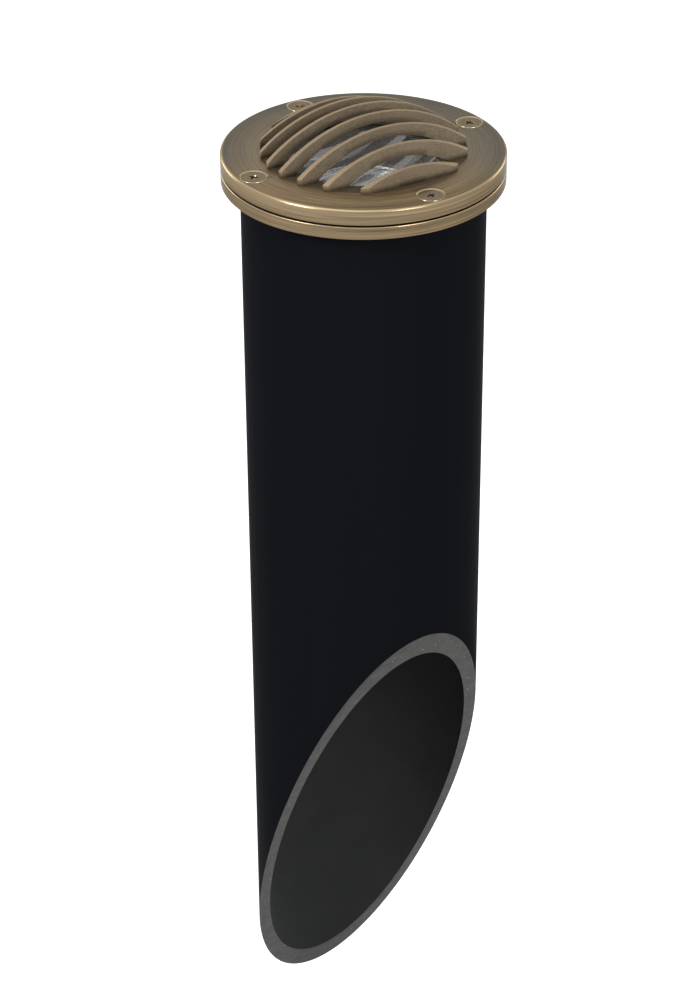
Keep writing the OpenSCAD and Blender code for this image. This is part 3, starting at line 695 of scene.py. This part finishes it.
def fin(y):
    """One cast fin: a drafted bar with a level top between two arcs, its ends cut by the grate's circle."""
    steps = 64
    soft = 0.24 * MM
    end_soft = 0.3 * MM
    corner_wear = (0.35, 0.95, 1.0, 0.85)
    top_wear = 0.5
    top_r = math.sqrt(DOME_R ** 2 - y * y)
    low_r = math.sqrt(ARCH_R ** 2 - y * y)
    crown_z = DOME_Z + top_r
    foot_z = COVER_Z + MM
    root_z = FACE_Z - 4 * MM
    half = math.sqrt(FIN_REACH ** 2 - y * y)
    inner = [-math.cos(math.pi * i / steps) * (1 - end_soft / half) for i in range(steps + 1)]
    shares = [(-1.0, soft), *[(share, 0.0) for share in inner], (1.0, soft)]

    def half_w(z):
        return FIN_FOOT / 2 + (FIN_TOP - FIN_FOOT) / 2 * (z - foot_z) / (crown_z - foot_z)

    verts, wear = [], []
    for share, shrink in shares:
        x = share * half
        top = DOME_Z + math.sqrt(top_r ** 2 - x * x) - shrink
        low = min(max(ARCH_Z + math.sqrt(max(0.0, low_r ** 2 - x * x)), root_z), top - MM)
        levels = (low + soft, (low + top) / 2, top - 2.5 * soft, top - 1.5 * soft)
        side = [(half_w(low) - soft, low, 0.0), *[(half_w(z), z, 0.0) for z in levels]]
        for k, amount in enumerate(corner_wear):
            b = math.pi / 2 * k / 3
            side.append((half_w(top) - soft + soft * math.cos(b), top - soft + soft * math.sin(b), amount))
        side.append((half_w(top) - 1.6 * soft, top, top_wear))
        # The wear fades towards the fin's ends
        side = [(w - shrink, z, amount * (1 - 0.5 * share ** 8)) for w, z, amount in side]
        section = [(-w, z, amount) for w, z, amount in side] + side[::-1]
        for w, z, amount in section:
            reach = math.sqrt(FIN_REACH ** 2 - (y + w) ** 2)
            verts.append((share * reach, y + w, z))
            wear.append(amount)
    count = len(section)
    last = (len(shares) - 1) * count
    faces = [tuple(range(count)), tuple(last + k for k in reversed(range(count)))]
    faces += strips(len(shares), count, around=False)
    obj = make_object("fin", verts, faces, None, CAST, 50)
    set_wear(obj, wear)
    return obj


def ring_plate():
    """The cover's ring: spun face and rim, sunk cast shelf, and the lens's seat below."""
    small = 0.35 * MM
    outline = rounded([
        (FLANGE_R, COVER_Z, 0.15 * MM), (FLANGE_R, FACE_Z, COVER_EDGE), (GRATE_R, FACE_Z, 0.2 * MM),
        (GRATE_R, SHELF_TOP_Z, 0.08 * MM), (OPENING_R, SHELF_LOW_Z, 0.5 * MM), (OPENING_R, LIP_Z, small),
        (LENS_SEAT_R, LIP_Z), (LENS_SEAT_R, COVER_Z, small)], 6)
    obj = lathe("ring", outline, None, BRASS, 360, sharp=28)
    low, high = COVER_Z - MM, FACE_Z + MM
    sink_r = SCREW_HEAD_R + 0.14 * MM
    rim_r = sink_r + 0.35 * MM
    sink = [
        (0, low), (SCREW_HOLE_R, low), (SCREW_HOLE_R, FACE_Z - SCREW_HEAD_H), (sink_r, FACE_Z - 0.5 * MM),
        (sink_r, FACE_Z - 0.2 * MM), (rim_r, FACE_Z + 0.1 * MM), (rim_r, high), (0, high)]
    retainer_hole_r = 1.35 * MM
    retainer_hole_z = COVER_Z + 3 * MM
    retainer_hole = [
        (0, low), (retainer_hole_r, low), (retainer_hole_r, retainer_hole_z), (0, retainer_hole_z)]
    retainer_circle_r = (LENS_SEAT_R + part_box("lens_retainer")[1].x) / 2
    for i in range(SCREW_COUNT):
        a = TURN * i / SCREW_COUNT
        bore(obj, sink, on_circle(SCREW_CIRCLE_R, a), 72)
        bore(obj, retainer_hole, on_circle(retainer_circle_r, a + TURN / 8), 24)
    obj.data.materials.append(CAST)
    for face in obj.data.polygons:
        if math.hypot(face.center.x, face.center.y) < GRATE_R - 0.15 * MM:
            face.material_index = 1
    smooth(obj, 26)

    def worn(p):
        if p.z < FACE_Z - 1.2 * COVER_EDGE:
            return 0.0
        r = math.hypot(p.x, p.y)
        rim = near(r, FLANGE_R - 0.45 * COVER_EDGE, 0.6 * COVER_EDGE)
        # A painted highlight along the grate circle's lip, stored with the wear
        lip_highlight = 0.8 * near(r, GRATE_R, 0.7 * MM) * near(p.z, FACE_Z, 0.2 * MM)
        return max(min(1.0, 1.5 * rim), lip_highlight)

    set_wear(obj, [worn(v.co) for v in obj.data.vertices])
    return obj


def grate_cover():
    """The ring and its fins, as one casting."""
    fins = [fin((i - (FIN_COUNT - 1) / 2) * FIN_PITCH) for i in range(FIN_COUNT)]
    obj = join("grate", [ring_plate(), *fins], "cover")
    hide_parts("grate_cover")


# Screws

# How each screw's cross is turned
SCREW_TURNS = (0.35, 1.15, 0.62, 0.1)
# The head's raised rim: mm in from the head's edge, and mm down from the face
HEAD_RIM = (
    (0, 0.40), (0, 0.16), (0.06, 0.05), (0.18, 0), (0.34, 0.02), (0.48, 0.09), (0.62, 0.12), (0.75, 0.12))
HEAD_SINK = 0.12 * MM


def screw_outline():
    """Half of a screw, from its point up its thread to the middle of its head."""
    point = 0.7 * MM
    pitch = 1.27 * MM
    thread_depth = 0.6 * MM
    thread_end_z = FACE_Z - 5.5 * MM
    outline = [(0, SCREW_LOW.z), (SCREW_R - point, SCREW_LOW.z)]
    z = SCREW_LOW.z + point
    while z < thread_end_z:
        outline += [(SCREW_R - thread_depth, z), (SCREW_R, z + pitch * 0.45), (SCREW_R, z + pitch * 0.55)]
        z += pitch
    outline += [(SCREW_R - 0.5 * MM, z), (SCREW_R - 0.1 * MM, FACE_Z - SCREW_HEAD_H)]
    outline += [(SCREW_R, FACE_Z - SCREW_HEAD_H + 0.1 * MM)]
    outline += [(SCREW_HEAD_R - inward * MM, FACE_Z - down * MM) for inward, down in HEAD_RIM]
    return [*outline, (0, FACE_Z - HEAD_SINK)]


def cross_bars(centre, turn):
    """The two tapered bars that cut a Phillips cross."""
    reach = 2.2 * MM
    width = 0.55 * MM
    depth = 2.3 * MM
    top_grow, tip_grow = 1.25, 0.42
    bars = []
    for k in range(2):
        a = turn + k * math.pi / 2
        along = Vector((math.cos(a), math.sin(a), 0))
        across = Vector((-math.sin(a), math.cos(a), 0))
        verts = []
        for z, grow in ((FACE_Z + MM, top_grow), (FACE_Z - depth, tip_grow)):
            side = width * (0.6 + 0.4 * grow)
            for su, sv in ((-1, -1), (1, -1), (1, 1), (-1, 1)):
                verts.append(Vector((*centre, z)) + along * reach * grow * su + across * side * sv)
        faces = [(0, 1, 2, 3), (7, 6, 5, 4), (0, 4, 5, 1), (1, 5, 6, 2), (2, 6, 7, 3), (3, 7, 4, 0)]
        bars.append(make_object("bar", verts, faces, None))
    return bars


def cover_screws():
    """The four flat-head screws, with a bright rim on each head."""
    parts = []
    for i, turn in enumerate(SCREW_TURNS):
        centre = on_circle(SCREW_CIRCLE_R, TURN * i / SCREW_COUNT)
        obj = lathe("screw", screw_outline(), None, SCREW, 72, centre, closed=False, sharp=24)
        for bar in cross_bars(centre, turn):
            cut(obj, bar)
        smooth(obj, 26)
        wear = []
        for v in obj.data.vertices:
            r = math.hypot(v.co.x - centre[0], v.co.y - centre[1])
            rim = near(r, SCREW_HEAD_R - 0.18 * MM, 0.36 * MM)
            wear.append(min(1.0, 1.6 * rim * near(v.co.z, FACE_Z, 0.5 * MM)))
        set_wear(obj, wear)
        parts.append(obj)
    obj = join("screws", parts, "cover")
    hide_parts("cover_screws")


# Lens, lamp and gaskets

def lens():
    """The clear disc under the grate."""
    edge = 0.8 * MM
    outline = rounded([
        (0, LENS_LOW.z), (LENS_R, LENS_LOW.z, edge), (LENS_R, LENS_HIGH.z, edge), (0, LENS_HIGH.z)], 4)
    obj = lathe("lens_disc", outline, "cover", GLASS, 160, closed=False, sharp=24)
    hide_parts("lens")


def lamp_reflector():
    """The lamp's glass reflector: smooth outside, and inside a bowl of small flat mirrors."""
    low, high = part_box("lamp_reflector")
    facets, facet_parts, rings = 32, 4, 9
    segments = facets * facet_parts
    wall = 1.4 * MM
    neck_r = 7 * MM
    neck_soft = 0.2 * MM
    back_r = high.x - 1.7 * MM
    rim_z = high.z - 3 * MM
    rim_soft = 0.4 * MM
    seat_r = back_r - wall + 0.3 * MM
    seat_z = high.z - 1.5 * MM
    ledge_r = back_r - wall - 0.3 * MM

    def bowl(t):
        return neck_r + (back_r - neck_r) * math.sqrt(t), low.z + (rim_z - low.z) * t

    outer = [(neck_r - wall, low.z), (neck_r - neck_soft, low.z), (neck_r, low.z + neck_soft)]
    outer += [bowl(t) for t in np.linspace(0.03, 1, 24)]
    outer += [(high.x - rim_soft, rim_z), (high.x, rim_z + rim_soft)]
    outer += [(high.x, high.z - rim_soft), (high.x - rim_soft, high.z)]
    outer += [(seat_r, high.z), (seat_r, seat_z), (ledge_r, seat_z)]
    inner = [bowl(0.06 + 0.94 * i / rings) for i in reversed(range(rings + 1))]
    verts = []
    for i in range(segments):
        a = TURN * i / segments
        across = (i % facet_parts) / facet_parts - 0.5
        flat = math.cos(math.pi / facets) / math.cos(TURN / facets * across)
        column = outer + [((r - wall) * flat, z) for r, z in inner]
        verts += [(r * math.cos(a), r * math.sin(a), z) for r, z in column]
    obj = make_object("reflector_bowl", verts, strips(segments, len(column)), "lamp_head", MIRROR, 4)
    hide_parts("lamp_reflector")


def ring_of(name, node, in_r, body, material, edge=0.3 * MM):
    """A plain ring with soft edges in the place of a CAD ring."""
    low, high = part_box(node)
    outline = rounded([
        (high.x, low.z, edge), (high.x, high.z, edge), (in_r, high.z, edge), (in_r, low.z, edge)], 3)
    obj = lathe(name, outline, body, material, 200)
    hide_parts(node)


# Camera

# The camera that fits the photograph: focal length and frame in pixels, place in mm about the sleeve's axis
FOCAL_PX = 2813
FRAME_PX = 1000
PITCH = 31.30
ROLL = -0.455
FIN_TURN = 30.5
CAMERA_MM = (-13.63, -1186.0, 547.0)


def camera():
    data = bpy.data.cameras.new("camera")
    obj = bpy.data.objects.new("camera", data)
    bpy.context.scene.collection.objects.link(obj)
    data.sensor_fit = "AUTO"
    data.sensor_width = 36
    data.lens = FOCAL_PX * data.sensor_width / FRAME_PX
    data.clip_start, data.clip_end = 0.01, 50
    turn = Matrix.Rotation(math.radians(-FIN_TURN), 4, "Z")
    look = Matrix.Rotation(math.radians(90 - PITCH), 4, "X") @ Matrix.Rotation(math.radians(ROLL), 4, "Z")
    obj.matrix_world = turn @ Matrix.Translation(Vector(CAMERA_MM) * MM) @ look
    bpy.context.scene.camera = obj


# Stage and lamps

WHITE = (1, 1, 1, 1)
# How much the paper is lifted to white where it is looked at
FLOOR_LIFT = 0.66
# Strength of the studio's light on the object, where 1 is white
STUDIO_LIGHT = 0.4
# Each lamp's name, place and target in metres as the camera faces, width and height, watts and colour
LAMPS = (
    ("overhead", (-0.35, -0.3, 1.1), (0, 0, 0), (1.2, 0.9), 3.6, (1.0, 0.96, 0.89)),
    ("left", (-1.05, -0.75, 0.75), (0, 0, -0.05), (0.4, 0.4), 9, (1, 1, 1)),
    ("right", (0.75, -1.1, 0.6), (0, 0, -0.05), (0.5, 0.5), 7, (1, 1, 1)),
    ("back_left", (-1.1, 0.95, 0.15), (0, 0, -0.15), (0.7, 0.7), 5, (1, 1, 1)),
    ("back_right", (1.1, 0.95, 0.15), (0, 0, -0.15), (0.7, 0.7), 5, (1, 1, 1)))


def area_lamp(name, place, target, size, power, colour):
    data = bpy.data.lights.new(name, "AREA")
    data.shape = "RECTANGLE"
    data.size, data.size_y = size
    data.energy = power
    data.color = colour
    obj = bpy.data.objects.new(name, data)
    bpy.context.scene.collection.objects.link(obj)
    turn = Matrix.Rotation(math.radians(-FIN_TURN), 3, "Z")
    place, target = turn @ Vector(place), turn @ Vector(target)
    obj.location = place
    obj.rotation_mode = "QUATERNION"
    obj.rotation_quaternion = (place - target).to_track_quat("Z", "Y")


def seen_plainly(tree):
    """1 for rays that come from the camera, from a mirror or through glass, and 0 for the rest."""
    path = add(tree, "ShaderNodeLightPath").outputs
    mirrored = maths(tree, "MAXIMUM", path["Is Glossy Ray"], path["Is Transmission Ray"])
    return maths(tree, "MAXIMUM", path["Is Camera Ray"], mirrored)


def stage():
    """White paper that the light stands on, with a soft shadow."""
    floor_z = SLEEVE_LOW.z - 0.5 * MM
    size = 6.0
    verts = [(-size, -size, floor_z), (size, -size, floor_z), (size, size, floor_z), (-size, size, floor_z)]
    material, tree, shader = new_material("floor_paper", Roughness=0.9, Specular_IOR_Level=0.0)
    grain = noise(tree, object_place(tree), 300.0, 2.0)
    feed(tree, shader, Base_Color=mix_colour(tree, grain, (0.86, 0.86, 0.86), (0.90, 0.90, 0.90)))
    lift = maths(tree, "MULTIPLY", seen_plainly(tree), FLOOR_LIFT)
    glow = add(tree, "ShaderNodeEmission", {"Color": WHITE, "Strength": lift}).outputs[0]
    both = add(tree, "ShaderNodeAddShader", {0: shader.outputs[0], 1: glow}).outputs[0]
    tree.links.new(both, tree.nodes["Material Output"].inputs["Surface"])
    floor = make_object("floor", verts, [(0, 1, 2, 3)], None, material)


def world():
    """An even grey studio that shows white to the camera, in mirrors and through glass."""
    studio = bpy.data.worlds.new("studio")
    bpy.context.scene.world = studio
    studio.use_nodes = True
    tree = studio.node_tree
    background = tree.nodes["Background"]
    background.inputs["Color"].default_value = WHITE
    strength = remap(tree, seen_plainly(tree), 0.0, 1.0, STUDIO_LIGHT, 1.0)
    tree.links.new(strength, background.inputs["Strength"])


camera()
world()
stage()
for lamp in LAMPS:
    area_lamp(*lamp)
dress_nodes()
sleeve()
mounting_flange()
grate_cover()
cover_screws()
lens()
lamp_reflector()
ring_of("gasket_ring", "cover_gasket", GASKET_IN_R, "cover", RUBBER)
ring_of("lens_gasket_ring", "lens_gasket", OPENING_R, "cover", RUBBER, 0.2 * MM)
bpy.context.scene.view_settings.view_transform = "Standard"
